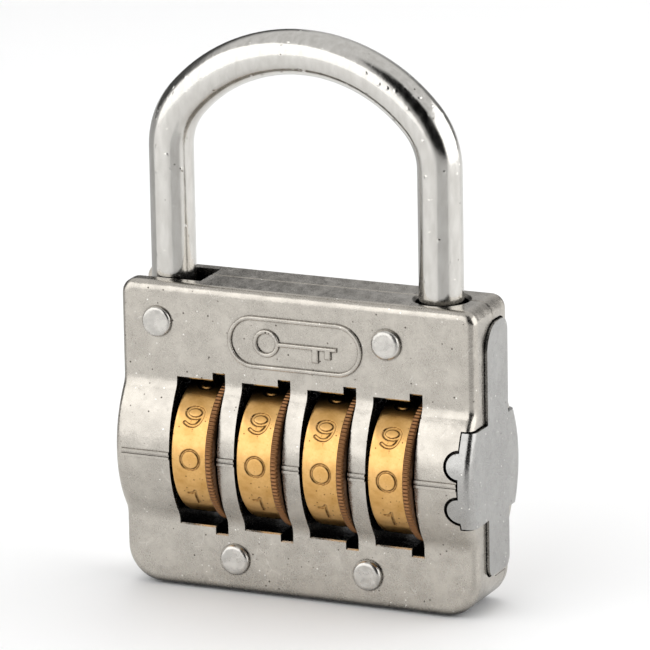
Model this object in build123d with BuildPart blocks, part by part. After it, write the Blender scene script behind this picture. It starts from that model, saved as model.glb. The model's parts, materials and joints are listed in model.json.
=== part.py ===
from build123d import *

import os
from math import sqrt

# Four-dial combination padlock with a hinged shackle and an end slide.
# X to the right seen from the front, Y to the back, Z up. The origin is the
# middle of the case's bottom face. Millimetres.

# Case
CASE_LEFT = -25.83
CASE_RIGHT = 25.4
CASE_HEIGHT = 42.0
CASE_DEPTH = 11.3
EDGE_ROUND = 1.15
CORNER_ROUNDS = [5.0, 4.8, 1.9, 2.0]  # bottom left, bottom right, top right, top left
PARTING_Y = 0.4
PARTING_GAP = 0.08
SEAM_BEVEL = 0.16  # on both shells' outer edges where they meet
FLOOR_PARTING_Y = 3.8  # the front shell wraps round the bottom to here
FLOOR_PARTING_Z = 4.4

# Barrel that carries the dials
AXIS_Z = 19.0
BARREL_CREST = 8.75
BARREL_RADIUS = 15.0
BARREL_BLEND = 2.5

# Dials and their windows
DIAL_COUNT = 4
DIAL_PITCH = 9.5
WINDOW_LEFT = -17.7
WINDOW_WIDTH = 7.07
WINDOW_HALF = 10.1
NOTCH_WIDTH = 1.85
NOTCH_HALF = 11.07
SILL_BEVEL = 0.18
BAND_RADIUS = 9.5
FLANGE_RADIUS = 10.3
FLANGE_WIDTH = 1.0
DIAL_INSET = 0.7
DIAL_WIDTH = 6.2
BAND_CHAMFER = 0.2
FLANGE_CHAMFER = 0.12

# Tumblers inside the dials
SLEEVE_RADIUS = 5.2
SLEEVE_REACH = 1.0
CHAMBER_RADIUS = 4.0
WEB_START = 2.8
WEB_WIDTH = 1.5
GATE_WIDTH = 2.0
WEB_LAP = 0.3  # the web runs this far into the sleeve
WEB_GAP = 0.15
RUNNING_GAP = 0.05

# Spindle and its ends
SPINDLE_RADIUS = 1.5
SPINDLE_LEFT = -24.5
SPINDLE_RIGHT = 23.4
LUG_RADIUS = 3.5
LUG_WIDTH = 1.5
LUG_LENGTH = 1.2
LUG_START = 1.4
SPRING_CHAMBER = (-24.9, -19.7)
SPRING_CHAMBER_RADIUS = 3.2
CLIP_X = -24.0
CLIP_WIDTH = 0.5
CLIP_RADIUS = 2.7
GROOVE_RADIUS = 1.1
SPRING_RADIUS = 2.2
SPRING_WIRE = 0.16
SPRING_TURNS = 4
SPRING_END_GAP = 0.02
GROOVE_LAP = 0.1
CLIP_MOUTH = 1.8
SPINDLE_CHAMFER = 0.2

# End slide
SLIDE_FACE = 25.83
SLIDE_INNER = 24.0
SLIDE_FRONT_Y = -2.5
SLIDE_REAR_Y = 4.4
SLIDE_BOTTOM = 5.0
SLIDE_TOP = 39.4
SLIDE_ROUNDS = [1.4, 1.4, 2.0, 3.6]  # bottom front, bottom rear, top rear, top front
CAP_BOTTOM = 13.0
CAP_TOP = 26.0
EAR_HEIGHTS = (15.6, 21.8)
EAR_RADIUS = 1.7
EAR_INNER_Y = 7.0
SLIDE_GAP = 0.2
EAR_GAP = 0.42
BOSS_RADIUS = 2.6
BOSS_LEFT = 20.7
BOSS_CHAMBER_LEFT = 20.4
BOSS_CHAMBER_RADIUS = 2.8
PIN_X = 22.2
PIN_RADIUS = 0.5
BOSS_LAP = 0.5
TONGUE = ((19.6, 24.0), 2.4, (6.4, 8.6))  # X range, thickness, Z range
GUIDE_GAP = 0.1

# Shackle
ROD_RADIUS = 3.0
HEEL_X = -20.4
TOE_X = 18.36
PIVOT_Z = 36.62
TOE_END = 32.0
CROWN_TOP = 73.65
CROWN_RADIUS = 22.5
SHOULDER_RADIUS = 10.0
PIVOT_RADIUS = 1.25
HEEL_SLOT_HALF = 3.2
HEEL_SLOT_RIGHT = -15.1
HEEL_SLOT_FLOOR = 33.3
HEEL_RAMP_START = 1.1  # left of the pivot the floor rises, so the rod can lie over
HEEL_RAMP_RISE = 3.1
TOE_HOLE_RADIUS = 3.55
TOE_HOLE_SHIFT = (0.15, -0.2)  # the rod leans to the left as it leaves the hole
TOE_MOUTH = 0.4  # depth of the bevel round the hole
TOE_HOLE_FLOOR = 31.6
TOE_NOTCH_DEPTH = 1.5
TOE_NOTCH_SPARE = 0.6
TOE_CHAMFER = 0.5
LATCH_BOTTOM = 34.6
LATCH_HEIGHT = 1.8
LATCH_WIDTH = 2.4
LATCH_X = (22.15, 25.05)
LATCH_CHAMFER = 0.35
LATCH_SLOT_LEFT = 21.15

# Rivets
RIVET_RADIUS = 1.25
RIVET_HEAD_RADIUS = 2.1
RIVETS = {
    "shackle_pivot_rivet": (HEEL_X, PIVOT_Z, 0.62),
    "rivet_top_right": (12.83, PIVOT_Z, 0.9),
    "rivet_bottom_left": (-9.66, 4.6, 0.75),
    "rivet_bottom_right": (9.68, 4.6, 0.9),
}
REAR_HEAD_HEIGHT = 0.55
HEAD_ROUND = 0.75  # share of a head's height that is rounded over

# Detents
BALL_RADIUS = 0.7
BALL_REACH = 0.61
BALL_OFFSET = 5.0
DETENT_HOLE_DEPTH = 1.7
DIMPLE_COUNT = 10
DIMPLE_RADIUS = 0.6
DIMPLE_DEPTH = 0.35
DETENT_SPRING_RADIUS = 0.45
DETENT_SPRING_WIRE = 0.08
DETENT_SPRING_TURNS = 3

# Badge on the front: a capsule outline round a plain key
BADGE_X = -0.4
BADGE_Z = 35.1
BADGE_LENGTH = 19.4
BADGE_HEIGHT = 7.2
BADGE_LINE = 0.56
BADGE_RELIEF = 0.36
BADGE_ROUND = 0.2  # on the ribs' outer edges
KEY_BOW_X = -4.1
KEY_BOW_RADIUS = 1.9
KEY_BOW_HOLE = 1.34
KEY_BAR = 0.56
KEY_STEM = (-2.5, 6.1)
KEY_TEETH = ((3.0, 2.0), (4.8, 1.4))  # place along the key, and length
KEY_TOOTH = 0.9

# Index mark along the barrel: a low pad with a groove
INDEX_WIDTH = 1.0
INDEX_RELIEF = 0.27
INDEX_GROOVE = 0.32
INDEX_GROOVE_DEPTH = 0.17

# Coring that lightens the top of the case, closed all round
CORE_X = (-12.6, 9.8)
CORE_Z = (32.0, 39.4)
CORE_HALF = 3.4

FACE_Y = CASE_DEPTH / 2
ROOT = 0.3  # how deep raised marks are rooted in the case
WIDE = 60.0  # longer than anything on the lock


def axial(x):
    """Plane across the dial axis at x, its first direction along Y."""
    return Plane(origin=(x, 0, AXIS_Z), x_dir=(0, 1, 0), z_dir=(1, 0, 0))


def window_left(index):
    return WINDOW_LEFT + index * DIAL_PITCH


def save(piece, name):
    piece.part.label = name
    export_step(piece.part, f"parts/{name}.step")


def outer_case(right_x):
    """Closed outer shape: a slab crossed front and back by the barrel."""
    with BuildPart() as case:
        with BuildSketch(Plane.XZ):
            with BuildLine():
                FilletPolyline(
                    (CASE_LEFT, 0),
                    (right_x, 0),
                    (right_x, CASE_HEIGHT),
                    (CASE_LEFT, CASE_HEIGHT),
                    radius=CORNER_ROUNDS,
                    close=True,
                )
            make_face()
        extrude(amount=FACE_Y, both=True)
        with BuildSketch(axial(CASE_LEFT)):
            with Locations((BARREL_RADIUS - BARREL_CREST, 0)):
                Circle(BARREL_RADIUS)
            with Locations((BARREL_CREST - BARREL_RADIUS, 0)):
                Circle(BARREL_RADIUS, mode=Mode.INTERSECT)
        extrude(amount=right_x - CASE_LEFT)
        along = case.edges().filter_by(Axis.X)
        junctions = [e for e in along if 5 < abs(e.center().Z - AXIS_Z) < 12]
        fillet(junctions, BARREL_BLEND)
        rim = [e for e in case.edges() if abs(e.center().Y) > FACE_Y - 0.05 and not on_face(e)]
        fillet(rim, EDGE_ROUND)
    return case.part


def on_face(edge):
    """True for the long tangent lines where the barrel's blends meet the faces."""
    middle = edge.center()
    return abs(middle.X) < 2 and 5 < middle.Z < 33


def slide_region(gap):
    """Space that the end slide fills, grown by gap on the sides facing the case."""
    ear_gap = EAR_GAP if gap else 0
    inner = SLIDE_INNER - gap
    with BuildPart() as region:
        with BuildSketch(Plane.YZ.offset(inner)):
            with BuildLine():
                FilletPolyline(
                    (SLIDE_FRONT_Y - gap, SLIDE_BOTTOM - gap),
                    (SLIDE_REAR_Y + gap, SLIDE_BOTTOM - gap),
                    (SLIDE_REAR_Y + gap, SLIDE_TOP + gap),
                    (SLIDE_FRONT_Y - gap, SLIDE_TOP + gap),
                    radius=SLIDE_ROUNDS,
                    close=True,
                )
            make_face()
            with Locations((0, (CAP_BOTTOM + CAP_TOP) / 2)):
                Rectangle(WIDE, CAP_TOP - CAP_BOTTOM + 2 * gap)
        extrude(amount=WIDE)
        for side in (-1, 1):
            with BuildSketch(Plane.XZ.offset(-side * (EAR_INNER_Y - gap))):
                with Locations(*((SLIDE_INNER, height) for height in EAR_HEIGHTS)):
                    Circle(EAR_RADIUS + ear_gap)
            extrude(amount=-side * WIDE)
    return region.part


def case_hollows():
    """Everything that is cut out of the two shells."""
    barrel_right = window_left(DIAL_COUNT - 1) + WINDOW_WIDTH
    with BuildPart() as hollows:
        # windows and dial bays, straight through from front to back
        for index in range(DIAL_COUNT):
            left = window_left(index)
            with BuildSketch(Plane.XZ):
                with Locations((left + WINDOW_WIDTH / 2, AXIS_Z)):
                    Rectangle(WINDOW_WIDTH, 2 * WINDOW_HALF)
                with Locations((left + WINDOW_WIDTH - NOTCH_WIDTH / 2, AXIS_Z)):
                    Rectangle(NOTCH_WIDTH, 2 * NOTCH_HALF)
            extrude(amount=WIDE / 2, both=True)
        # saddles for the tumblers, then the spindle's own way
        with BuildSketch(axial(WINDOW_LEFT - SLEEVE_REACH)):
            Circle(SLEEVE_RADIUS + RUNNING_GAP)
        extrude(amount=barrel_right - WINDOW_LEFT + 2 * SLEEVE_REACH)
        with BuildSketch(axial(SPRING_CHAMBER[0])):
            Circle(SPINDLE_RADIUS + RUNNING_GAP)
        extrude(amount=SLIDE_INNER - SPRING_CHAMBER[0])
        with BuildSketch(axial(SPRING_CHAMBER[0])):
            Circle(SPRING_CHAMBER_RADIUS)
        extrude(amount=SPRING_CHAMBER[1] - SPRING_CHAMBER[0])
        with BuildSketch(axial(BOSS_CHAMBER_LEFT)):
            Circle(BOSS_CHAMBER_RADIUS)
        extrude(amount=SLIDE_INNER - BOSS_CHAMBER_LEFT)
        # heel slot, open to the left so that the shackle can swing over
        with BuildSketch(Plane.XZ):
            with BuildLine():
                Polyline(
                    (HEEL_SLOT_RIGHT, CASE_HEIGHT + 1),
                    (HEEL_SLOT_RIGHT, HEEL_SLOT_FLOOR),
                    (HEEL_X - HEEL_RAMP_START, HEEL_SLOT_FLOOR),
                    (CASE_LEFT - 1, HEEL_SLOT_FLOOR + HEEL_RAMP_RISE),
                    (CASE_LEFT - 1, CASE_HEIGHT + 1),
                    close=True,
                )
            make_face()
        extrude(amount=HEEL_SLOT_HALF, both=True)
        # toe hole and the latch's slot beside it
        with BuildSketch(Plane.XY.offset(TOE_HOLE_FLOOR)):
            with Locations((TOE_X + TOE_HOLE_SHIFT[0], TOE_HOLE_SHIFT[1])):
                Circle(TOE_HOLE_RADIUS)
        extrude(amount=CASE_HEIGHT + 1 - TOE_HOLE_FLOOR)
        with BuildSketch(Plane.XY.offset(CASE_HEIGHT - TOE_MOUTH)):
            with Locations((TOE_X + TOE_HOLE_SHIFT[0], TOE_HOLE_SHIFT[1])):
                Circle(TOE_HOLE_RADIUS)
        extrude(amount=TOE_MOUTH, taper=-45)
        latch_slot = SLIDE_INNER - LATCH_SLOT_LEFT
        with Locations((SLIDE_INNER - latch_slot / 2, 0, LATCH_BOTTOM + LATCH_HEIGHT / 2)):
            Box(latch_slot, LATCH_WIDTH + 2 * GUIDE_GAP, LATCH_HEIGHT + 2 * GUIDE_GAP)
        # guide for the end slide's tongue
        (low, high), thick, (bottom, top) = TONGUE
        with Locations(((low + high) / 2, 0, (bottom + top) / 2)):
            Box(high - low + 3 * GUIDE_GAP, thick + 2 * GUIDE_GAP, top - bottom + 2 * GUIDE_GAP)
        # rivet holes
        for x, z, _ in RIVETS.values():
            with BuildSketch(Plane.XZ):
                with Locations((x, z)):
                    Circle(RIVET_RADIUS)
            extrude(amount=WIDE / 2, both=True)
        # detent holes in the ribs
        for index in range(DIAL_COUNT):
            with BuildSketch(axial(window_left(index) - DETENT_HOLE_DEPTH)):
                with Locations((BALL_OFFSET, BALL_OFFSET)):
                    Circle(BALL_RADIUS + RUNNING_GAP)
            extrude(amount=DETENT_HOLE_DEPTH)
        # coring above the dials
        with Locations((sum(CORE_X) / 2, 0, sum(CORE_Z) / 2)):
            Box(CORE_X[1] - CORE_X[0], 2 * CORE_HALF, CORE_Z[1] - CORE_Z[0])
        add(slide_region(SLIDE_GAP))
    return hollows.part


def front_side(shift):
    """Half space in front of the parting face, which steps back at the floor."""
    with BuildPart() as side:
        with BuildSketch(Plane.YZ):
            with BuildLine():
                Polyline(
                    (-WIDE, -WIDE),
                    (FLOOR_PARTING_Y + shift, -WIDE),
                    (FLOOR_PARTING_Y + shift, FLOOR_PARTING_Z + shift),
                    (PARTING_Y + shift, FLOOR_PARTING_Z + shift),
                    (PARTING_Y + shift, 2 * WIDE),
                    (-WIDE, 2 * WIDE),
                    close=True,
                )
            make_face()
        extrude(amount=WIDE, both=True)
    return side.part


def badge():
    """Raised capsule outline with a key in it, standing on the front face."""
    with BuildPart() as mark:
        with BuildSketch(Plane.XZ.offset(FACE_Y - ROOT)):
            with Locations((BADGE_X, BADGE_Z)):
                SlotOverall(BADGE_LENGTH, BADGE_HEIGHT)
                SlotOverall(
                    BADGE_LENGTH - 2 * BADGE_LINE,
                    BADGE_HEIGHT - 2 * BADGE_LINE,
                    mode=Mode.SUBTRACT,
                )
            with Locations((BADGE_X + KEY_BOW_X, BADGE_Z)):
                Circle(KEY_BOW_RADIUS)
                Circle(KEY_BOW_HOLE, mode=Mode.SUBTRACT)
            with Locations((BADGE_X + sum(KEY_STEM) / 2, BADGE_Z)):
                Rectangle(KEY_STEM[1] - KEY_STEM[0], KEY_BAR)
            for place, length in KEY_TEETH:
                with Locations((BADGE_X + place, BADGE_Z - length / 2)):
                    Rectangle(KEY_TOOTH, length)
        extrude(amount=ROOT + BADGE_RELIEF)
        fillet(mark.faces().filter_by(Axis.Y).group_by(Axis.Y)[0].edges(), BADGE_ROUND)
    return mark.part


def index_mark():
    """Low pad along the barrel's crest with a groove down its middle."""
    length = SLIDE_INNER - SLIDE_GAP - CASE_LEFT - EDGE_ROUND
    middle = (CASE_LEFT + EDGE_ROUND + SLIDE_INNER - SLIDE_GAP) / 2
    with BuildPart() as mark:
        with Locations((middle, -BARREL_CREST + (ROOT - INDEX_RELIEF) / 2, AXIS_Z)):
            Box(length, ROOT + INDEX_RELIEF, INDEX_WIDTH)
        with Locations((middle, -BARREL_CREST - INDEX_RELIEF, AXIS_Z)):
            Box(length, 2 * INDEX_GROOVE_DEPTH, INDEX_GROOVE, mode=Mode.SUBTRACT)
    return mark.part


def sills(shell):
    """Outer edges of the windows' straight tops and bottoms."""
    along = shell.edges().filter_by(Axis.X)
    ends = [AXIS_Z - WINDOW_HALF, AXIS_Z + WINDOW_HALF, AXIS_Z - NOTCH_HALF, AXIS_Z + NOTCH_HALF]
    outer = along.filter_by(lambda e: abs(e.center().Y) > FACE_Y - SILL_BEVEL)
    return outer.filter_by(lambda e: min(abs(e.center().Z - end) for end in ends) < SILL_BEVEL / 10)


def seam(shell):
    """Outer top edge of the parting face."""
    along = shell.edges().filter_by(Axis.X).group_by(Axis.Z)[-1]
    return along.filter_by(lambda e: abs(e.center().Y - PARTING_Y) < 2 * PARTING_GAP)


def shells():
    outside = outer_case(CASE_RIGHT)
    hollows = case_hollows()
    with BuildPart() as front_shell:
        add(outside)
        add(badge())
        add(index_mark())
        add(front_side(0), mode=Mode.INTERSECT)
        add(hollows, mode=Mode.SUBTRACT)
        chamfer(sills(front_shell), SILL_BEVEL)
        chamfer(seam(front_shell), SEAM_BEVEL)
    save(front_shell, "front_shell")
    with BuildPart() as rear_shell:
        add(outside)
        add(front_side(PARTING_GAP), mode=Mode.SUBTRACT)
        add(hollows, mode=Mode.SUBTRACT)
        chamfer(sills(rear_shell), SILL_BEVEL)
        chamfer(seam(rear_shell), SEAM_BEVEL)
    save(rear_shell, "rear_shell")


def end_slide():
    """Side plate, end cap with four ears, spindle boss and guide tongue."""
    with BuildPart() as slide:
        add(outer_case(SLIDE_FACE))
        add(slide_region(0), mode=Mode.INTERSECT)
        with BuildSketch(axial(BOSS_LEFT)):
            Circle(BOSS_RADIUS)
        extrude(amount=SLIDE_INNER - BOSS_LEFT + BOSS_LAP)
        (low, high), thick, (bottom, top) = TONGUE
        with Locations(((low + high) / 2, 0, (bottom + top) / 2)):
            Box(high - low, thick, top - bottom)
        with BuildSketch(axial(BOSS_LEFT)):
            Circle(SPINDLE_RADIUS)
        extrude(amount=SPINDLE_RIGHT - BOSS_LEFT, mode=Mode.SUBTRACT)
        with BuildSketch(Plane.XY.offset(AXIS_Z)):
            with Locations((PIN_X, 0)):
                Circle(PIN_RADIUS)
        extrude(amount=BOSS_RADIUS, both=True, mode=Mode.SUBTRACT)
        pocket = LATCH_X[1] + GUIDE_GAP - SLIDE_INNER
        wide = LATCH_WIDTH + 2 * GUIDE_GAP
        high = LATCH_HEIGHT + 2 * GUIDE_GAP
        with Locations((SLIDE_INNER + pocket / 2, 0, LATCH_BOTTOM + LATCH_HEIGHT / 2)):
            Box(pocket, wide, high, mode=Mode.SUBTRACT)
    save(slide, "end_slide")


def spindle():
    with BuildPart() as rod:
        with BuildSketch(axial(SPINDLE_LEFT)):
            Circle(SPINDLE_RADIUS)
        extrude(amount=SPINDLE_RIGHT - SPINDLE_LEFT)
        for index in range(DIAL_COUNT):
            start = window_left(index) + LUG_START
            with Locations((start + LUG_LENGTH / 2, 0, AXIS_Z + LUG_RADIUS / 2)):
                Box(LUG_LENGTH, LUG_WIDTH, LUG_RADIUS)
        with BuildSketch(axial(CLIP_X)):
            Circle(SPINDLE_RADIUS + GROOVE_LAP)
            Circle(GROOVE_RADIUS, mode=Mode.SUBTRACT)
        extrude(amount=CLIP_WIDTH, mode=Mode.SUBTRACT)
        with BuildSketch(Plane.XY.offset(AXIS_Z)):
            with Locations((PIN_X, 0)):
                Circle(PIN_RADIUS)
        extrude(amount=BOSS_RADIUS, both=True, mode=Mode.SUBTRACT)
        ends = rod.edges().filter_by(GeomType.CIRCLE).sort_by(Axis.X)
        chamfer(ends[0], SPINDLE_CHAMFER)
    save(rod, "spindle")
    with BuildPart() as pin:
        with BuildSketch(Plane.XY.offset(AXIS_Z)):
            with Locations((PIN_X, 0)):
                Circle(PIN_RADIUS)
        extrude(amount=BOSS_RADIUS, both=True)
    save(pin, "spindle_pin")
    with BuildPart() as clip:
        with BuildSketch(axial(CLIP_X)):
            Circle(CLIP_RADIUS)
            Circle(GROOVE_RADIUS, mode=Mode.SUBTRACT)
            with Locations((0, -CLIP_RADIUS)):
                Rectangle(CLIP_MOUTH, 2 * CLIP_RADIUS, mode=Mode.SUBTRACT)
        extrude(amount=CLIP_WIDTH)
    save(clip, "retaining_clip")


def coil(start, end, offset, radius, wire, turns):
    """Round-wire coil along X from start to end, its middle offset from the dial axis."""
    free = end - start - 2 * wire
    centre = (start + wire, offset, AXIS_Z + offset)
    with BuildPart() as spring:
        with BuildLine() as turn_line:
            Helix(free / turns, free, radius, center=centre, direction=(1, 0, 0))
        line = turn_line.line
        with BuildSketch(Plane(origin=line @ 0, z_dir=line % 0)):
            Circle(wire)
        sweep(is_frenet=True)
    return spring.part


def springs_and_balls():
    with BuildPart() as return_spring:
        left = CLIP_X + CLIP_WIDTH + SPRING_END_GAP
        right = SPRING_CHAMBER[1] - SPRING_END_GAP
        add(coil(left, right, 0, SPRING_RADIUS, SPRING_WIRE, SPRING_TURNS))
    save(return_spring, "return_spring")
    with BuildPart() as detent_springs:
        for index in range(DIAL_COUNT):
            left = window_left(index) - DETENT_HOLE_DEPTH + SPRING_END_GAP
            right = window_left(index) + BALL_REACH - 2 * BALL_RADIUS - SPRING_END_GAP
            wire = DETENT_SPRING_WIRE
            add(coil(left, right, BALL_OFFSET, DETENT_SPRING_RADIUS, wire, DETENT_SPRING_TURNS))
    save(detent_springs, "detent_springs")
    with BuildPart() as detent_balls:
        for index in range(DIAL_COUNT):
            middle = window_left(index) + BALL_REACH - BALL_RADIUS
            with Locations((middle, BALL_OFFSET, AXIS_Z + BALL_OFFSET)):
                Sphere(BALL_RADIUS)
    save(detent_balls, "detent_balls")


def dial(index):
    """Brass wheel: a plain number band and a knurled flange on its right."""
    left = window_left(index) + DIAL_INSET
    right = left + DIAL_WIDTH
    with BuildPart() as wheel:
        with BuildSketch(axial(left)):
            Circle(BAND_RADIUS)
        extrude(amount=DIAL_WIDTH - FLANGE_WIDTH)
        with BuildSketch(axial(right - FLANGE_WIDTH)):
            Circle(FLANGE_RADIUS)
        extrude(amount=FLANGE_WIDTH)
        with BuildSketch(axial(left)):
            Circle(SLEEVE_RADIUS)
        extrude(amount=DIAL_WIDTH, mode=Mode.SUBTRACT)
        rims = wheel.edges().filter_by(GeomType.CIRCLE)
        outer_rims = rims.filter_by(lambda e: e.radius > SLEEVE_RADIUS + 1)
        chamfer(outer_rims.sort_by(Axis.X)[0], BAND_CHAMFER)
        chamfer(rims.filter_by(lambda e: e.radius > BAND_RADIUS + FLANGE_CHAMFER), FLANGE_CHAMFER)
        with BuildSketch(axial(left)):
            with PolarLocations(BALL_OFFSET * sqrt(2), DIMPLE_COUNT, start_angle=45):
                Circle(DIMPLE_RADIUS)
        extrude(amount=DIMPLE_DEPTH, mode=Mode.SUBTRACT)
    save(wheel, f"dial_{index + 1}")


def tumbler(index):
    """Sleeve that turns in the case's saddles, with a gated web for the lug."""
    left = window_left(index) - SLEEVE_REACH + RUNNING_GAP
    length = WINDOW_WIDTH + 2 * SLEEVE_REACH - 2 * RUNNING_GAP
    with BuildPart() as sleeve:
        with BuildSketch(axial(left)):
            Circle(SLEEVE_RADIUS)
            Circle(CHAMBER_RADIUS, mode=Mode.SUBTRACT)
        extrude(amount=length)
        with BuildSketch(axial(window_left(index) + WEB_START)):
            Circle(CHAMBER_RADIUS + WEB_LAP)
            Circle(SPINDLE_RADIUS + WEB_GAP, mode=Mode.SUBTRACT)
            with Locations((0, CHAMBER_RADIUS / 2)):
                Rectangle(GATE_WIDTH, CHAMBER_RADIUS, mode=Mode.SUBTRACT)
        extrude(amount=WEB_WIDTH)
    save(sleeve, f"tumbler_{index + 1}")


def shackle():
    """Round rod bent to a U: straight legs, two shoulder arcs and a flatter crown."""
    middle = (HEEL_X + TOE_X) / 2
    half_span = (TOE_X - HEEL_X) / 2
    crown_z = CROWN_TOP - CROWN_RADIUS
    reach = CROWN_RADIUS - SHOULDER_RADIUS
    lean_sin = (half_span - SHOULDER_RADIUS) / reach
    lean_cos = sqrt(1 - lean_sin**2)
    shoulder_z = crown_z + reach * lean_cos
    join = (CROWN_RADIUS * lean_sin, crown_z + CROWN_RADIUS * lean_cos)
    bend = SHOULDER_RADIUS
    half_sin = sqrt((1 - lean_sin) / 2)
    half_cos = sqrt((1 + lean_sin) / 2)
    mid_shoulder = (half_span - bend + bend * half_cos, shoulder_z + bend * half_sin)
    with BuildPart() as rod:
        with BuildLine(Plane.XZ):
            Line((HEEL_X, PIVOT_Z - ROD_RADIUS), (HEEL_X, shoulder_z))
            ThreePointArc(
                (HEEL_X, shoulder_z),
                (middle - mid_shoulder[0], mid_shoulder[1]),
                (middle - join[0], join[1]),
            )
            ThreePointArc(
                (middle - join[0], join[1]), (middle, CROWN_TOP), (middle + join[0], join[1])
            )
            ThreePointArc(
                (middle + join[0], join[1]),
                (middle + mid_shoulder[0], mid_shoulder[1]),
                (TOE_X, shoulder_z),
            )
            Line((TOE_X, shoulder_z), (TOE_X, TOE_END))
        with BuildSketch(Plane.XY.offset(PIVOT_Z - ROD_RADIUS)):
            with Locations((HEEL_X, 0)):
                Circle(ROD_RADIUS)
        sweep()
        # the heel is rounded about the pivot, so that it turns in its slot
        with BuildSketch(Plane.XZ):
            with Locations((0, PIVOT_Z + WIDE)):
                Rectangle(2 * WIDE, 2 * WIDE)
            with Locations((HEEL_X, PIVOT_Z)):
                Circle(ROD_RADIUS)
            with Locations((TOE_X, PIVOT_Z)):
                Rectangle(3 * ROD_RADIUS, 4 * ROD_RADIUS)
        extrude(amount=WIDE, both=True, mode=Mode.INTERSECT)
        with BuildSketch(Plane.XZ):
            with Locations((HEEL_X, PIVOT_Z)):
                Circle(PIVOT_RADIUS + RUNNING_GAP)
        extrude(amount=WIDE, both=True, mode=Mode.SUBTRACT)
        notch_left = TOE_X + ROD_RADIUS - TOE_NOTCH_DEPTH
        with Locations((notch_left + ROD_RADIUS, 0, LATCH_BOTTOM + LATCH_HEIGHT / 2)):
            Box(2 * ROD_RADIUS, WIDE, LATCH_HEIGHT + TOE_NOTCH_SPARE, mode=Mode.SUBTRACT)
        toe_rim = rod.edges().filter_by(GeomType.CIRCLE).sort_by(Axis.Z)[0]
        chamfer(toe_rim, TOE_CHAMFER)
    save(rod, "shackle")


def shackle_latch():
    low, high = LATCH_X
    with BuildPart() as bar:
        with Locations(((low + high) / 2, 0, LATCH_BOTTOM + LATCH_HEIGHT / 2)):
            Box(high - low, LATCH_WIDTH, LATCH_HEIGHT)
        nose = bar.edges().filter_by(Axis.Y).sort_by(Axis.X)[:2]
        chamfer(nose, LATCH_CHAMFER)
    save(bar, "shackle_latch")


def rivet(name):
    """Shank through both shells, a button head in front and a lower one behind."""
    x, z, height = RIVETS[name]
    with BuildPart() as pin:
        with BuildSketch(Plane.XZ.offset(-FACE_Y)):
            with Locations((x, z)):
                Circle(RIVET_RADIUS)
        extrude(amount=2 * FACE_Y)
        with BuildSketch(Plane.XZ.offset(FACE_Y)):
            with Locations((x, z)):
                Circle(RIVET_HEAD_RADIUS)
        extrude(amount=height)
        with BuildSketch(Plane.XZ.offset(-FACE_Y)):
            with Locations((x, z)):
                Circle(RIVET_HEAD_RADIUS)
        extrude(amount=-REAR_HEAD_HEIGHT)
        rims = pin.edges().filter_by(GeomType.CIRCLE).sort_by(Axis.Y)
        fillet(rims[0], HEAD_ROUND * height)
        fillet(rims[-1], HEAD_ROUND * REAR_HEAD_HEIGHT)
    save(pin, name)


os.makedirs("parts", exist_ok=True)
shells()
end_slide()
spindle()
springs_and_balls()
for number in range(DIAL_COUNT):
    dial(number)
    tumbler(number)
shackle()
shackle_latch()
for rivet_name in RIVETS:
    rivet(rivet_name)
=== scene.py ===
import json
import math

import bpy
import numpy as np
from mathutils import Matrix, Vector


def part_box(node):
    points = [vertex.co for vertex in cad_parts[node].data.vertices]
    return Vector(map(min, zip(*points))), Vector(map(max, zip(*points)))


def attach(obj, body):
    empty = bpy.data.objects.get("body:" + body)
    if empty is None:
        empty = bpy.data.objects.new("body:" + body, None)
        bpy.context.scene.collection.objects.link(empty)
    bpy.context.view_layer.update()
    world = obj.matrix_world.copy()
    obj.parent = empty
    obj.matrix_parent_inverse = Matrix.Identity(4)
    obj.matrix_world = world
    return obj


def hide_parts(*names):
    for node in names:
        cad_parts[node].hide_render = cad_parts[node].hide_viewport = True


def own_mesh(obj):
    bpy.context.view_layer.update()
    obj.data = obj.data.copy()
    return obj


# The looks of the combination padlock. Metres, X right, Y back, Z up.

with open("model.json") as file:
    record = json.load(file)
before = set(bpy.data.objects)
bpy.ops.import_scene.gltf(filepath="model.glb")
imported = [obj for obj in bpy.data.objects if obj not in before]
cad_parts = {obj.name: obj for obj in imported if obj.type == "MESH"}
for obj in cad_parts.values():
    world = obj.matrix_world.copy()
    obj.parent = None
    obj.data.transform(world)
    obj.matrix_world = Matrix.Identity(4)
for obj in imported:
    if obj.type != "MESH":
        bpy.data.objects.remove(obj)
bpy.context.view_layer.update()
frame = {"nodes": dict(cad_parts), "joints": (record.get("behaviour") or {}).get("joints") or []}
MM = 0.001

# ---------------------------------------------------------------- places from the frame


def joint(name):
    """What the frame says about a joint."""
    return next(j for j in frame["joints"] if j["name"] == name)


AXIS_Z = joint("dial_1_turn")["pos_m"][2]
DIAL_COUNT = 4

# ---------------------------------------------------------------- material helpers

CREVICE_REACH = 0.45 * MM  # how near a neighbouring surface must be for the colour to darken with dirt and painted shade
INSIDE_REACH = 6 * MM  # how near the walls must be for the colour to go black as painted shade deep inside
# the black painted into deep insides, as painted shade
INSIDE_SHADE_COLOUR = (0.012, 0.010, 0.009)
HOLLOW_SAMPLES = 6
LINE_WANDER = 0.6  # how far a line strays, in cells
LINE_CORE = 0.3  # the share of a line's width at full strength

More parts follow.
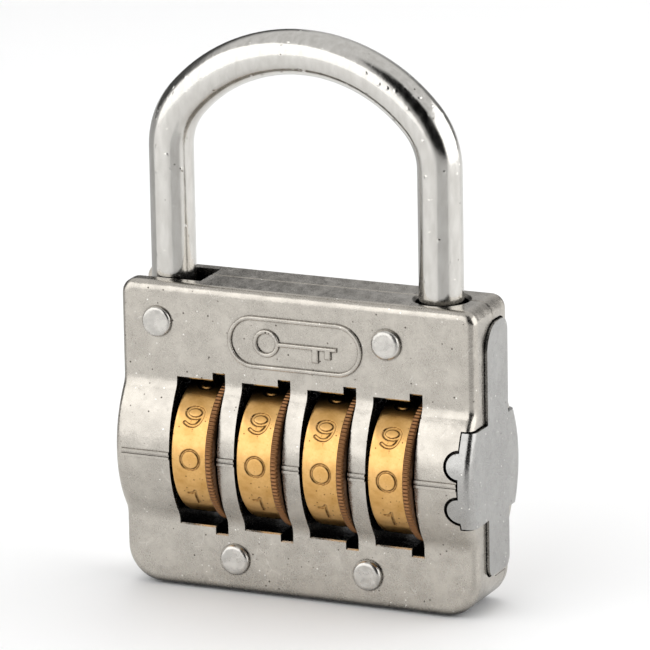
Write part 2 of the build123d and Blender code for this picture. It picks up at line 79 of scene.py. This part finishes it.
class Nodes:
    """A material's node tree with short calls for the nodes that repeat here."""

    def __init__(self, name):
        self.material = bpy.data.materials.new(name)
        self.material.use_nodes = True
        self.tree = self.material.node_tree
        self.shader = self.tree.nodes["Principled BSDF"]
        self.place = self.add("ShaderNodeTexCoord").outputs["Object"]

    def add(self, kind, **values):
        node = self.tree.nodes.new(kind)
        for key, value in values.items():
            setattr(node, key, value)
        return node

    def link(self, source, target):
        self.tree.links.new(source, target)

    def noise(self, scale, detail=3.0, rough=0.5, stretch=None):
        """Noise in object space, scale in cycles per metre."""
        node = self.add("ShaderNodeTexNoise")
        node.inputs["Scale"].default_value = scale
        node.inputs["Detail"].default_value = detail
        node.inputs["Roughness"].default_value = rough
        self.link(self.stretched(stretch), node.inputs["Vector"])
        return node.outputs["Fac"]

    def stretched(self, stretch):
        if stretch is None:
            return self.place
        mapping = self.add("ShaderNodeMapping")
        mapping.inputs["Scale"].default_value = stretch
        self.link(self.place, mapping.inputs["Vector"])
        return mapping.outputs["Vector"]

    def cells(self, scale):
        node = self.add("ShaderNodeTexVoronoi")
        node.inputs["Scale"].default_value = scale
        self.link(self.place, node.inputs["Vector"])
        return node.outputs["Distance"]

    def ramp(self, source, low, high, start=0.0, end=1.0):
        """source from low..high to start..end, held at both ends."""
        node = self.add("ShaderNodeMapRange")
        node.inputs["From Min"].default_value = low
        node.inputs["From Max"].default_value = high
        node.inputs["To Min"].default_value = start
        node.inputs["To Max"].default_value = end
        self.link(source, node.inputs["Value"])
        return node.outputs["Result"]

    def math(self, operation, first, second):
        node = self.add("ShaderNodeMath", operation=operation)
        for socket, value in zip(node.inputs, (first, second)):
            if isinstance(value, (int, float)):
                socket.default_value = value
            else:
                self.link(value, socket)
        return node.outputs["Value"]

    def mix(self, factor, first, second):
        """Colour first where factor is 0, second where it is 1."""
        node = self.add("ShaderNodeMix", data_type="RGBA")
        self.link(factor, node.inputs[0])
        for socket, value in ((node.inputs[6], first), (node.inputs[7], second)):
            if isinstance(value, tuple):
                socket.default_value = (*value, 1)
            else:
                self.link(value, socket)
        return node.outputs[2]

    def hollow(self, reach):
        """How open the surface is to its surroundings, 0 deep in a gap and 1 in the open."""
        node = self.add("ShaderNodeAmbientOcclusion", samples=HOLLOW_SAMPLES)
        node.inputs["Distance"].default_value = reach
        return node.outputs["AO"]

    def lines(self, scale, width):
        """Thin wandering lines, 1 on a line and 0 beside it."""
        bent = self.add("ShaderNodeTexNoise")
        bent.inputs["Scale"].default_value = scale
        self.link(self.place, bent.inputs["Vector"])
        moved = self.add("ShaderNodeVectorMath", operation="MULTIPLY_ADD")
        self.link(bent.outputs["Color"], moved.inputs[0])
        moved.inputs[1].default_value = (LINE_WANDER / scale,) * 3
        self.link(self.place, moved.inputs[2])
        node = self.add("ShaderNodeTexVoronoi", feature="DISTANCE_TO_EDGE")
        node.inputs["Scale"].default_value = scale
        self.link(moved.outputs["Vector"], node.inputs["Vector"])
        return self.ramp(node.outputs["Distance"], width, LINE_CORE * width)

    def dirt_and_painted_shade(self, base, dark):
        """Darkens the colour where neighbouring surfaces close in: dirt and painted shade in the
        crevices, and black painted shade further inside.
        """
        # crevices darkened with dirt and painted shade, by how closed in they are
        crevice_dirt_and_shade = self.ramp(self.hollow(CREVICE_REACH), 0.78, 0.4, 0.0, 0.9)
        # deep insides painted black as shade
        inside_shade = self.ramp(self.hollow(INSIDE_REACH), 0.5, 0.2)
        return self.mix(inside_shade, self.mix(crevice_dirt_and_shade, base, dark), INSIDE_SHADE_COLOUR)

    def attribute(self, name):
        return self.add("ShaderNodeAttribute", attribute_name=name).outputs["Fac"]

    def bump(self, heights):
        """Stacks height fields, each (field, strength, distance in metres)."""
        normal = None
        for field, strength, distance in heights:
            node = self.add("ShaderNodeBump")
            node.inputs["Strength"].default_value = strength
            node.inputs["Distance"].default_value = distance
            self.link(field, node.inputs["Height"])
            if normal is not None:
                self.link(normal, node.inputs["Normal"])
            normal = node.outputs["Normal"]
        self.link(normal, self.shader.inputs["Normal"])

    def set(self, **values):
        for key, value in values.items():
            self.shader.inputs[key.replace("_", " ")].default_value = value


# ---------------------------------------------------------------- materials


def cast_nickel(name, pale, dull, nicks):
    """Satin nickel plate over a die casting: mottled, faintly wavy, pitted and scratched.

    A lower nicks gives more bright specks.
    """
    n = Nodes(name)
    n.set(Metallic=1.0)
    cloudy = n.ramp(n.noise(330, 4, 0.62), 0.34, 0.68)
    grain = n.noise(5200, 2, 0.6)
    stain = n.ramp(n.noise(1100, 4, 0.7), 0.54, 0.75, 0.0, 0.5)
    pits = n.ramp(n.cells(1000), 0.16, 0.09)
    pits = n.math("MULTIPLY", pits, n.ramp(n.noise(600, 2, 0.5), 0.55, 0.6))
    scratch = n.math("MULTIPLY", n.lines(260, 0.012), n.ramp(n.noise(300, 2, 0.5), 0.6, 0.68))
    spots = n.ramp(n.noise(800, 2, 0.5), nicks, nicks + 0.03)
    bright = n.math("MULTIPLY", n.ramp(n.cells(1400), 0.2, 0.1), spots)
    dark = tuple(0.72 * c for c in dull)
    base = n.mix(cloudy, dull, pale)
    base = n.mix(n.ramp(grain, 0.35, 0.65, 0.22, 0.0), base, dark)
    base = n.mix(stain, base, dark)
    base = n.mix(n.math("MAXIMUM", n.math("MULTIPLY", scratch, 0.3), bright), base, (0.8, 0.78, 0.74))
    base = n.mix(pits, base, (0.07, 0.06, 0.05))
    # dirt and painted shade in the crevices of the case, black painted shade in its deep insides
    base = n.dirt_and_painted_shade(base, (0.06, 0.052, 0.045))
    n.link(base, n.shader.inputs["Base Color"])
    rough = n.math("ADD", n.ramp(cloudy, 0, 1, 0.27, 0.2), n.ramp(grain, 0.3, 0.7, -0.03, 0.07))
    n.link(rough, n.shader.inputs["Roughness"])
    n.bump(
        [
            (n.noise(240, 2, 0.5), 0.4, 0.4 * MM),
            (n.noise(1300, 3, 0.6), 0.22, 0.09 * MM),
            (grain, 0.12, 0.03 * MM),
            (scratch, 0.25, 0.03 * MM),
            (pits, -0.7, 0.12 * MM),
        ]
    )
    return n.material


def polished_nickel():
    """Bright nickel plate on the round rod, with faint streaks, pimples and a few pits."""
    n = Nodes("polished_nickel")
    n.set(Metallic=1.0)
    streaks = n.noise(1100, 3, 0.6, stretch=(1, 1, 0.3))
    wavy = n.noise(190, 2, 0.5)
    patch = n.ramp(n.noise(260, 2, 0.5), 0.5, 0.62)
    pits = n.math("MULTIPLY", n.ramp(n.cells(520), 0.085, 0.04), patch)
    bumpy = n.ramp(n.noise(260, 3, 0.6), 0.48, 0.58)
    pimples = n.math("MULTIPLY", n.ramp(n.cells(760), 0.26, 0.0), bumpy)
    base = n.mix(n.ramp(streaks, 0.35, 0.65), (0.50, 0.485, 0.455), (0.58, 0.565, 0.535))
    base = n.mix(pits, base, (0.09, 0.075, 0.06))
    # dirt and painted shade in the crevices by the rod, black painted shade deeper in
    base = n.dirt_and_painted_shade(base, (0.05, 0.045, 0.04))
    n.link(base, n.shader.inputs["Base Color"])
    n.link(n.ramp(streaks, 0.3, 0.7, 0.12, 0.22), n.shader.inputs["Roughness"])
    n.bump(
        [
            (streaks, 0.06, 0.05 * MM),
            (wavy, 0.14, 0.3 * MM),
            (n.noise(3000, 2, 0.6), 0.16, 0.03 * MM),
            (pimples, 0.55, 0.12 * MM),
            (pits, -0.7, 0.14 * MM),
        ]
    )
    return n.material


def rivet_nickel():
    """Dull nickel on the peened rivets."""
    n = Nodes("rivet_nickel")
    n.set(Metallic=1.0)
    cloudy = n.noise(700, 3, 0.6)
    base = n.mix(n.ramp(cloudy, 0.35, 0.65), (0.42, 0.405, 0.38), (0.56, 0.54, 0.505))
    # painted shade round the rivet heads, with dirt, gives their dark outline; black painted shade deeper
    # in
    base = n.dirt_and_painted_shade(base, (0.03, 0.027, 0.023))
    n.link(base, n.shader.inputs["Base Color"])
    n.link(n.ramp(cloudy, 0.3, 0.7, 0.2, 0.34), n.shader.inputs["Roughness"])
    n.bump([(n.noise(420, 2, 0.5), 0.55, 0.4 * MM), (n.noise(1900, 2, 0.5), 0.3, 0.06 * MM)])
    return n.material


def turned_brass():
    """Yellow brass, darker in the walls of the stamped numbers with dirt and painted shade, and darker on
    the knurl.
    """
    n = Nodes("turned_brass")
    n.set(Metallic=1.0)
    cloudy = n.ramp(n.noise(420, 4, 0.62), 0.34, 0.68)
    rings = n.noise(4200, 2, 0.5, stretch=(1, 0.02, 0.02))
    patch = n.ramp(n.noise(700, 2, 0.5), 0.5, 0.58)
    specks = n.math("MULTIPLY", n.ramp(n.cells(1500), 0.2, 0.1), patch)
    worn = n.ramp(n.noise(2300, 3, 0.7), 0.3, 0.62, 0.25, 0.95)
    base = n.mix(cloudy, (0.56, 0.315, 0.098), (0.71, 0.43, 0.165))
    base = n.mix(n.ramp(n.noise(2600, 3, 0.7), 0.5, 0.8, 0.0, 0.5), base, (0.46, 0.235, 0.065))
    base = n.mix(specks, base, (0.15, 0.065, 0.02))
    # dirt and painted shade along the walls of the stamped numbers, varied by the worn noise
    base = n.mix(n.math("MULTIPLY", n.attribute("stamp_dirt_and_shade"), worn), base, (0.10, 0.042, 0.012))
    base = n.mix(n.attribute("knurl"), base, (0.19, 0.092, 0.04))
    # dirt and painted shade in the crevices of the brass, black painted shade deeper in
    base = n.dirt_and_painted_shade(base, (0.08, 0.035, 0.012))
    n.link(base, n.shader.inputs["Base Color"])
    n.link(n.ramp(cloudy, 0, 1, 0.36, 0.27), n.shader.inputs["Roughness"])
    n.bump([(rings, 0.08, 0.04 * MM), (n.noise(600, 2, 0.5), 0.2, 0.2 * MM), (specks, -0.5, 0.08 * MM)])
    return n.material


def plain_metal(name, low, high, rough):
    """Inner parts: plain machined metal with a little grain."""
    n = Nodes(name)
    n.set(Metallic=1.0)
    grain = n.noise(1200, 3, 0.6)
    n.link(n.mix(n.ramp(grain, 0.3, 0.7), low, high), n.shader.inputs["Base Color"])
    n.link(n.ramp(grain, 0.3, 0.7, rough - 0.05, rough + 0.07), n.shader.inputs["Roughness"])
    n.bump([(grain, 0.1, 0.05 * MM)])
    return n.material


def floor_material():
    n = Nodes("studio_floor")
    n.set(Base_Color=(0.95, 0.95, 0.95, 1), Roughness=0.5)
    return n.material


def paint(material, *nodes):
    """Puts a material on CAD nodes."""
    for name in nodes:
        for mesh_slot in frame["nodes"][name].material_slots:
            mesh_slot.material = material


# ---------------------------------------------------------------- dials

BAND_R = 9.5 * MM
FLANGE_R = 10.3 * MM
BORE_R = 5.2 * MM
FLANGE_W = 1.0 * MM
TURN_STEPS = 720
DIGIT_HALF = 1.62 * MM
STROKE = 0.2 * MM  # half the width of a number's line
FINE_STROKE = 0.13 * MM  # the same for 0 and 1
STAMP_DEPTH = 0.16 * MM
STAMP_REACH = 1.9 * MM  # a number stays within this of its middle
KNURL_DEPTH = 0.15 * MM
TOOTH = np.array([0.0, 0.55, 1.0, 1.0, 0.55, 0.0])  # the height of a tooth over its steps
DIGITS = 10
PLAIN, STAMPED, RIM_SIDE, RIM = range(4)  # kinds of row round a dial
SHARP_ANGLE = math.radians(40)


def arc(cx, cy, rx, ry, start, end, count=40):
    """Points on an ellipse from start to end degrees, counter-clockwise from +x."""
    t = np.radians(np.linspace(start, end, count))
    return np.stack([cx + rx * np.cos(t), cy + ry * np.sin(t)], 1)


def digit_strokes():
    """Middle lines of the ten numbers, 3 mm high, x right and y up, in millimetres."""
    return {
        0: [arc(0, 0, 1.34, 1.34, 0, 360, 80)],
        1: [arc(-0.75, 1.6, 0.95, 0.95, -100, -25), [(0.12, 1.2), (0.0, -1.5)]],
        2: [arc(0, 0.55, 0.95, 0.82, 165, -35), [(0.78, 0.08), (-0.95, -1.35), (1.0, -1.35)]],
        3: [arc(0, 0.66, 0.85, 0.7, 160, -90), arc(0, -0.68, 1.0, 0.72, 90, -160)],
        4: [[(0.45, -1.35), (0.45, 1.35), (-1.05, -0.5), (1.05, -0.5)]],
        5: [[(0.85, 1.35), (-0.65, 1.35), (-0.8, 0.15)], arc(0, -0.42, 1.0, 0.93, 145, -150)],
        6: [
            arc(0, -0.55, 1.17, 0.79, 0, 360, 60),
            arc(0.1, -0.4, 1.27, 1.73, 185, 90),
            arc(0.08, -0.42, 1.75, 1.75, 90, 50),
        ],
        7: [[(-0.95, 1.35), (0.95, 1.35), (-0.2, -1.35)]],
        8: [arc(0, 0.7, 0.8, 0.66, 0, 360, 60), arc(0, -0.66, 1.0, 0.72, 0, 360, 60)],
        9: [
            arc(0, 0.55, 1.17, 0.79, 0, 360, 60),
            arc(-0.1, 0.4, 1.27, 1.73, 5, -90),
            arc(-0.08, 0.42, 1.75, 1.75, -90, -130),
        ],
    }


def stroke_distance(points, strokes):
    """Distance of each point from the nearest stroke, in millimetres."""
    best = np.full(len(points), np.inf)
    for stroke in strokes:
        line = np.asarray(stroke, float)
        for a, b in zip(line[:-1], line[1:]):
            run = b - a
            share = np.clip((points - a) @ run / (run @ run), 0, 1)
            gap = points - a - share[:, None] * run
            best = np.minimum(best, np.hypot(gap[:, 0], gap[:, 1]))
    return best


def smooth(value, low, high):
    """0 below low, 1 above high, with an S-shaped rise between."""
    t = np.clip((value - low) / (high - low), 0, 1)
    return t * t * (3 - 2 * t)


def dial_rows(width, middle):
    """Rings round a dial from its left face to its right: (x, radius, kind)."""
    rim = width - FLANGE_W
    fine = np.linspace(middle - DIGIT_HALF, middle + DIGIT_HALF, 47)
    rows = [
        (0.0, BORE_R, PLAIN),
        (0.0, BAND_R - 1.2 * MM, PLAIN),
        (0.0, BAND_R - 0.22 * MM, PLAIN),
        (0.06 * MM, BAND_R - 0.07 * MM, PLAIN),
        (0.22 * MM, BAND_R, PLAIN),
    ]
    rows += [(x, BAND_R, STAMPED) for x in np.linspace(0.5 * MM, fine[0] - 0.1 * MM, 3)]
    rows += [(x, BAND_R, STAMPED) for x in fine]
    rows += [(x, BAND_R, STAMPED) for x in np.linspace(fine[-1] + 0.1 * MM, rim - 0.1 * MM, 4)]
    rows += [
        (rim, BAND_R - 0.04 * MM, PLAIN),
        (rim, FLANGE_R - 0.22 * MM, RIM_SIDE),
        (rim + 0.05 * MM, FLANGE_R - 0.08 * MM, RIM),
        (rim + 0.15 * MM, FLANGE_R, RIM),
        (width - 0.17 * MM, FLANGE_R, RIM),
        (width - 0.06 * MM, FLANGE_R - 0.06 * MM, RIM),
        (width, FLANGE_R - 0.22 * MM, RIM_SIDE),
        (width, BAND_R - 0.3 * MM, RIM_SIDE),
        (width, BORE_R, PLAIN),
    ]
    return [np.array(column) for column in zip(*rows)]


def dial_mesh(width):
    """One dial about the X axis from x = 0 to width, with stamped numbers and a knurled rim."""
    middle = (width - FLANGE_W) / 2 + 0.1 * MM
    x, radius, kind = dial_rows(width, middle)
    turn = np.arange(TURN_STEPS) * 2 * math.pi / TURN_STEPS
    high = np.repeat(radius[:, None], TURN_STEPS, 1)
    # dirt and painted shade along the walls of the stamped numbers, filled in below
    stamp_dirt_and_shade = np.zeros_like(high)
    knurl = np.zeros_like(high)
    # turn 0 faces the front and grows upwards; the numbers run on downwards
    band = np.flatnonzero(kind == STAMPED)
    for number, lines in digit_strokes().items():
        off = (turn + number * 2 * math.pi / DIGITS + math.pi) % (2 * math.pi) - math.pi
        near = np.flatnonzero(np.abs(off) < STAMP_REACH / BAND_R)
        across, up = np.meshgrid((x[band] - middle) / MM, off[near] * BAND_R / MM, indexing="ij")
        points = np.stack([across.ravel(), up.ravel()], 1)
        gap = stroke_distance(points, lines).reshape(across.shape)
        half = (FINE_STROKE if number < 2 else STROKE) / MM
        sunk = 1 - smooth(gap, half - 0.07, half + 0.07)
        # where the walls of the stamped numbers get their dirt and painted shade
        wall_dirt_and_shade = 1 - smooth(np.abs(gap - half), 0.04, 0.14)
        spot = np.ix_(band, near)
        high[spot] -= STAMP_DEPTH * sunk
        stamp_dirt_and_shade[spot] = np.maximum(stamp_dirt_and_shade[spot], wall_dirt_and_shade)
    high[kind == RIM] -= KNURL_DEPTH * (1 - np.resize(TOOTH, TURN_STEPS))
    knurl[kind >= RIM_SIDE] = 1.0
    co = np.empty((len(x), TURN_STEPS, 3))
    co[..., 0] = x[:, None]
    co[..., 1] = -high * np.cos(turn)
    co[..., 2] = high * np.sin(turn)
    index = np.arange(high.size).reshape(high.shape)
    ring = np.roll(index, -1, 1)
    loop = np.roll(index, -1, 0)
    corner = np.roll(ring, -1, 0)
    faces = np.stack([index, loop, corner, ring], -1).reshape(-1, 4)
    mesh = bpy.data.meshes.new("dial")
    mesh.from_pydata(co.reshape(-1, 3).tolist(), [], faces.tolist())
    for name, field in (("stamp_dirt_and_shade", stamp_dirt_and_shade), ("knurl", knurl)):
        attribute = mesh.attributes.new(name, "FLOAT", "POINT")
        attribute.data.foreach_set("value", field.ravel().astype(np.float32))
    mesh.polygons.foreach_set("use_smooth", [True] * len(mesh.polygons))
    mesh.set_sharp_from_angle(angle=SHARP_ANGLE)
    mesh.update()
    return mesh


def make_dials(material):
    """Four equal dials with numbers, each in its CAD dial's place."""
    low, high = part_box("dial_1")
    mesh = dial_mesh(high.x - low.x)
    mesh.materials.append(material)
    for number in range(1, DIAL_COUNT + 1):
        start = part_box(f"dial_{number}")[0].x
        dial = bpy.data.objects.new(f"number_dial_{number}", mesh)
        bpy.context.scene.collection.objects.link(dial)
        dial.location = (start, 0, AXIS_Z)
        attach(dial, f"wheel_{number}")
        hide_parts(f"dial_{number}")


# ---------------------------------------------------------------- return spring

COIL_TURNS = 4
COIL_STEPS = 30  # steps per turn
COIL_SIDES = 10
COIL_WIRE = 0.155 * MM  # the wire's radius


def make_return_spring(material):
    """The return spring as a coil, which moves with the release."""
    low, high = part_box("return_spring")
    radius = (high.z - low.z) / 2 - COIL_WIRE
    step = np.arange(COIL_TURNS * COIL_STEPS + 1)
    share = step / step[-1]
    turn = 2 * math.pi * step / COIL_STEPS
    side = 2 * math.pi * np.arange(COIL_SIDES) / COIL_SIDES
    out = radius + COIL_WIRE * np.cos(side)[None, :]
    run = low.x + COIL_WIRE + share * (high.x - low.x - 2 * COIL_WIRE)
    co = np.empty((len(step), COIL_SIDES, 3))
    co[..., 0] = run[:, None] + COIL_WIRE * np.sin(side)[None, :]
    co[..., 1] = out * np.cos(turn)[:, None]
    co[..., 2] = AXIS_Z + out * np.sin(turn)[:, None]
    index = np.arange(co.size // 3).reshape(len(step), COIL_SIDES)
    ahead = np.roll(index, -1, 1)
    faces = np.stack([index[:-1], index[1:], ahead[1:], ahead[:-1]], -1).reshape(-1, 4).tolist()
    faces += [index[0].tolist(), index[-1][::-1].tolist()]
    mesh = bpy.data.meshes.new("return_coil")
    mesh.from_pydata(co.reshape(-1, 3).tolist(), [], faces)
    mesh.materials.append(material)
    coil = bpy.data.objects.new("return_coil", mesh)
    bpy.context.scene.collection.objects.link(coil)
    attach(coil, "release")
    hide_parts("return_spring")
    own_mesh(coil)


# ---------------------------------------------------------------- studio

CAMERA_TARGET = Vector((0, 0, 0.03))
CAMERA_AZIMUTH = math.radians(24.28)
CAMERA_ELEVATION = math.radians(15.93)
CAMERA_ROLL = math.radians(-1.05)
CAMERA_DISTANCE = 0.899
CAMERA_LENS = 374.7
AIM_RIGHT = 1.26 * MM  # the middle of the picture, seen from the target
AIM_UP = 6.33 * MM
FLOOR = 3.0
FLOOR_DROP = 0.2 * MM
LAMP_PLACE = (180, 65, 0.45)  # turn and rise in degrees, distance in metres
LAMP_SIZE = 0.35
LAMP_POWER = 0.40
PANEL_DISTANCE = 0.7
CARD_REACH = 1.2
CARD_LIFT = 0.5 * MM
ROOM_HORIZON = 0.6
ROOM_CEILING = 0.92


def make_camera():
    """The camera at the target's distance, turned, raised and rolled, with its aim off the middle."""
    a, e, r = CAMERA_AZIMUTH, CAMERA_ELEVATION, CAMERA_ROLL
    forward = Vector((-math.sin(a) * math.cos(e), math.cos(a) * math.cos(e), -math.sin(e)))
    right = Vector((math.cos(a), math.sin(a), 0))
    up = right.cross(forward)
    tilted_right = right * math.cos(r) + up * math.sin(r)
    tilted_up = up * math.cos(r) - right * math.sin(r)
    data = bpy.data.cameras.new("camera")
    data.lens = CAMERA_LENS
    data.clip_start = 0.05
    data.clip_end = 20
    camera = bpy.data.objects.new("camera", data)
    bpy.context.scene.collection.objects.link(camera)
    camera.location = CAMERA_TARGET - forward * CAMERA_DISTANCE
    aim = CAMERA_TARGET + tilted_right * AIM_RIGHT + tilted_up * AIM_UP
    look = (aim - camera.location).normalized()
    side = look.cross(tilted_up).normalized()
    top = side.cross(look)
    turn = Matrix((side, top, -look)).transposed()
    camera.rotation_mode = "QUATERNION"
    camera.rotation_quaternion = turn.to_quaternion()
    bpy.context.scene.camera = camera


def from_camera(turn_degrees, rise_degrees, distance):
    """A place around the object, turned from the camera's side towards the picture's right."""
    turn = CAMERA_AZIMUTH + math.radians(turn_degrees)
    rise = math.radians(rise_degrees)
    flat = distance * math.cos(rise)
    return Vector((math.sin(turn) * flat, -math.cos(turn) * flat, distance * math.sin(rise)))


def softbox(name, place, size, power):
    """A soft panel that faces the object and doesn't show in any view."""
    data = bpy.data.lights.new(name, "AREA")
    data.shape = "RECTANGLE"
    data.size, data.size_y = size
    data.energy = power
    lamp = bpy.data.objects.new(name, data)
    bpy.context.scene.collection.objects.link(lamp)
    lamp.location = place
    lamp.rotation_mode = "QUATERNION"
    lamp.rotation_quaternion = (CAMERA_TARGET - place).to_track_quat("-Z", "Y")
    lamp.visible_camera = False


def floor_lamp():
    """Whitens the floor behind the object and shows in no reflection."""
    data = bpy.data.lights.new("floor_lamp", "AREA")
    data.shape = "DISK"
    data.size = LAMP_SIZE
    data.energy = LAMP_POWER
    lamp = bpy.data.objects.new("floor_lamp", data)
    bpy.context.scene.collection.objects.link(lamp)
    lamp.location = from_camera(*LAMP_PLACE)
    lamp.visible_camera = False
    lamp.visible_glossy = False


def shade_card(name, first, last, near, shade):
    """A dull sheet on the floor, which only reflections see: painted shade of the floor, shown only in
    the metal's reflections. Turns are from the camera, in degrees.
    """
    turns = [math.radians(t) for t in np.linspace(first, last, 16)]
    rim = [(math.sin(t + CAMERA_AZIMUTH), -math.cos(t + CAMERA_AZIMUTH)) for t in turns]
    inner = [(near * x, near * y, 0) for x, y in rim]
    outer = [(CARD_REACH * x, CARD_REACH * y, 0) for x, y in rim]
    count = len(rim)
    faces = [(i, i + 1, count + i + 1, count + i) for i in range(count - 1)]
    mesh = bpy.data.meshes.new(name)
    mesh.from_pydata(inner + outer, [], faces)
    n = Nodes(name)
    n.set(Base_Color=(shade, shade, shade, 1), Roughness=0.9)
    mesh.materials.append(n.material)
    card = bpy.data.objects.new(name, mesh)
    bpy.context.scene.collection.objects.link(card)
    card.location.z = CARD_LIFT
    card.visible_camera = False
    card.visible_diffuse = False
    card.visible_shadow = False


def make_room():
    """A pale ceiling that dims towards the horizon, dark over the camera, in a corner and at the rear."""
    world = bpy.data.worlds.new("studio")
    bpy.context.scene.world = world
    world.use_nodes = True
    tree = world.node_tree

    def add(kind, **values):
        node = tree.nodes.new(kind)
        for key, value in values.items():
            setattr(node, key, value)
        return node

    def combine(operation, first, second):
        node = add("ShaderNodeMath", operation=operation)
        for socket, value in zip(node.inputs, (first, second)):
            if isinstance(value, (int, float)):
                socket.default_value = value
            else:
                tree.links.new(value, socket)
        return node.outputs["Value"]

    def step(source, low, high, start=0.0, end=1.0):
        node = add("ShaderNodeMapRange", interpolation_type="SMOOTHSTEP")
        ends = {"From Min": low, "From Max": high, "To Min": start, "To Max": end}
        for key, value in ends.items():
            node.inputs[key].default_value = value
        tree.links.new(source, node.inputs["Value"])
        return node.outputs["Result"]

    def band(source, low, high, edge):
        rise = step(source, low - edge, low + edge)
        fall = step(source, high - edge, high + edge, 1.0, 0.0)
        return combine("MULTIPLY", rise, fall)

    turned = add("ShaderNodeMapping")
    turned.inputs["Rotation"].default_value = (0, 0, -CAMERA_AZIMUTH)
    tree.links.new(add("ShaderNodeTexCoord").outputs["Generated"], turned.inputs["Vector"])
    parts = add("ShaderNodeSeparateXYZ")
    tree.links.new(turned.outputs["Vector"], parts.inputs["Vector"])
    towards = combine("MULTIPLY", parts.outputs["Y"], -1.0)
    angle = combine("MULTIPLY", combine("ARCTAN2", parts.outputs["X"], towards), 180 / math.pi)
    height = parts.outputs["Z"]
    light = step(height, 0.18, 0.72, ROOM_HORIZON, ROOM_CEILING)
    gap = combine("MULTIPLY", band(angle, -14, 40, 6), step(height, 0.85, 0.97, 1.0, 0.0))
    low = step(height, 0.35, 0.6, 1.0, 0.0)
    corner = combine("MULTIPLY", combine("MULTIPLY", step(angle, -104, -118), low), 0.85)
    shade = combine("MULTIPLY", combine("MULTIPLY", band(angle, 122, 162, 10), low), 0.6)
    for dark in (gap, corner, shade):
        light = combine("MULTIPLY", light, combine("SUBTRACT", 1.0, dark))
    tree.links.new(light, tree.nodes["Background"].inputs["Strength"])
    tree.nodes["Background"].inputs["Color"].default_value = (1, 1, 1, 1)


def make_studio():
    """Pale floor, room light, two panels and the sheets of painted floor shade that the metal reflects.
    """
    mesh = bpy.data.meshes.new("studio_floor")
    corners = [(-FLOOR, -FLOOR, 0), (FLOOR, -FLOOR, 0), (FLOOR, FLOOR, 0), (-FLOOR, FLOOR, 0)]
    mesh.from_pydata(corners, [], [(0, 1, 2, 3)])
    mesh.materials.append(floor_material())
    floor = bpy.data.objects.new("studio_floor", mesh)
    bpy.context.scene.collection.objects.link(floor)
    floor.location.z = -FLOOR_DROP
    make_room()
    floor_lamp()
    # painted floor shade towards the camera and at the rear, seen only in reflections
    shade_card("front_shade_card", -12, 40, 75 * MM, 0.64)
    shade_card("rear_shade_card", -180, -100, 100 * MM, 0.5)
    softbox("left_panel", from_camera(-62, 25, PANEL_DISTANCE), (1.1, 0.62), 3.15)
    softbox("right_panel", from_camera(84, 22, PANEL_DISTANCE), (1.1, 0.55), 3.5)
    bpy.context.scene.view_settings.view_transform = "Standard"


# ---------------------------------------------------------------- the object

case_nickel = cast_nickel("cast_nickel", (0.50, 0.468, 0.419), (0.40, 0.374, 0.335), 0.60)
paint(case_nickel, "front_shell", "rear_shell")
slide_nickel = cast_nickel("slide_nickel", (0.40, 0.394, 0.38), (0.335, 0.33, 0.318), 0.57)
paint(slide_nickel, "end_slide")
paint(polished_nickel(), "shackle")
rivets = ("shackle_pivot_rivet", "rivet_top_right", "rivet_bottom_left", "rivet_bottom_right")
paint(rivet_nickel(), *rivets)
steel = plain_metal("steel", (0.32, 0.32, 0.33), (0.45, 0.45, 0.46), 0.3)
paint(steel, "spindle", "spindle_pin", "shackle_latch")
spring_steel = plain_metal("spring_steel", (0.2, 0.2, 0.21), (0.32, 0.32, 0.33), 0.28)
paint(spring_steel, "retaining_clip")
ball_steel = plain_metal("ball_steel", (0.4, 0.4, 0.42), (0.55, 0.55, 0.56), 0.15)
paint(ball_steel, "detent_balls", "detent_springs")
inner_brass = plain_metal("inner_brass", (0.5, 0.33, 0.12), (0.62, 0.42, 0.17), 0.32)
paint(inner_brass, *(f"tumbler_{number}" for number in range(1, DIAL_COUNT + 1)))
make_dials(turned_brass())
make_return_spring(spring_steel)
make_camera()
make_studio()
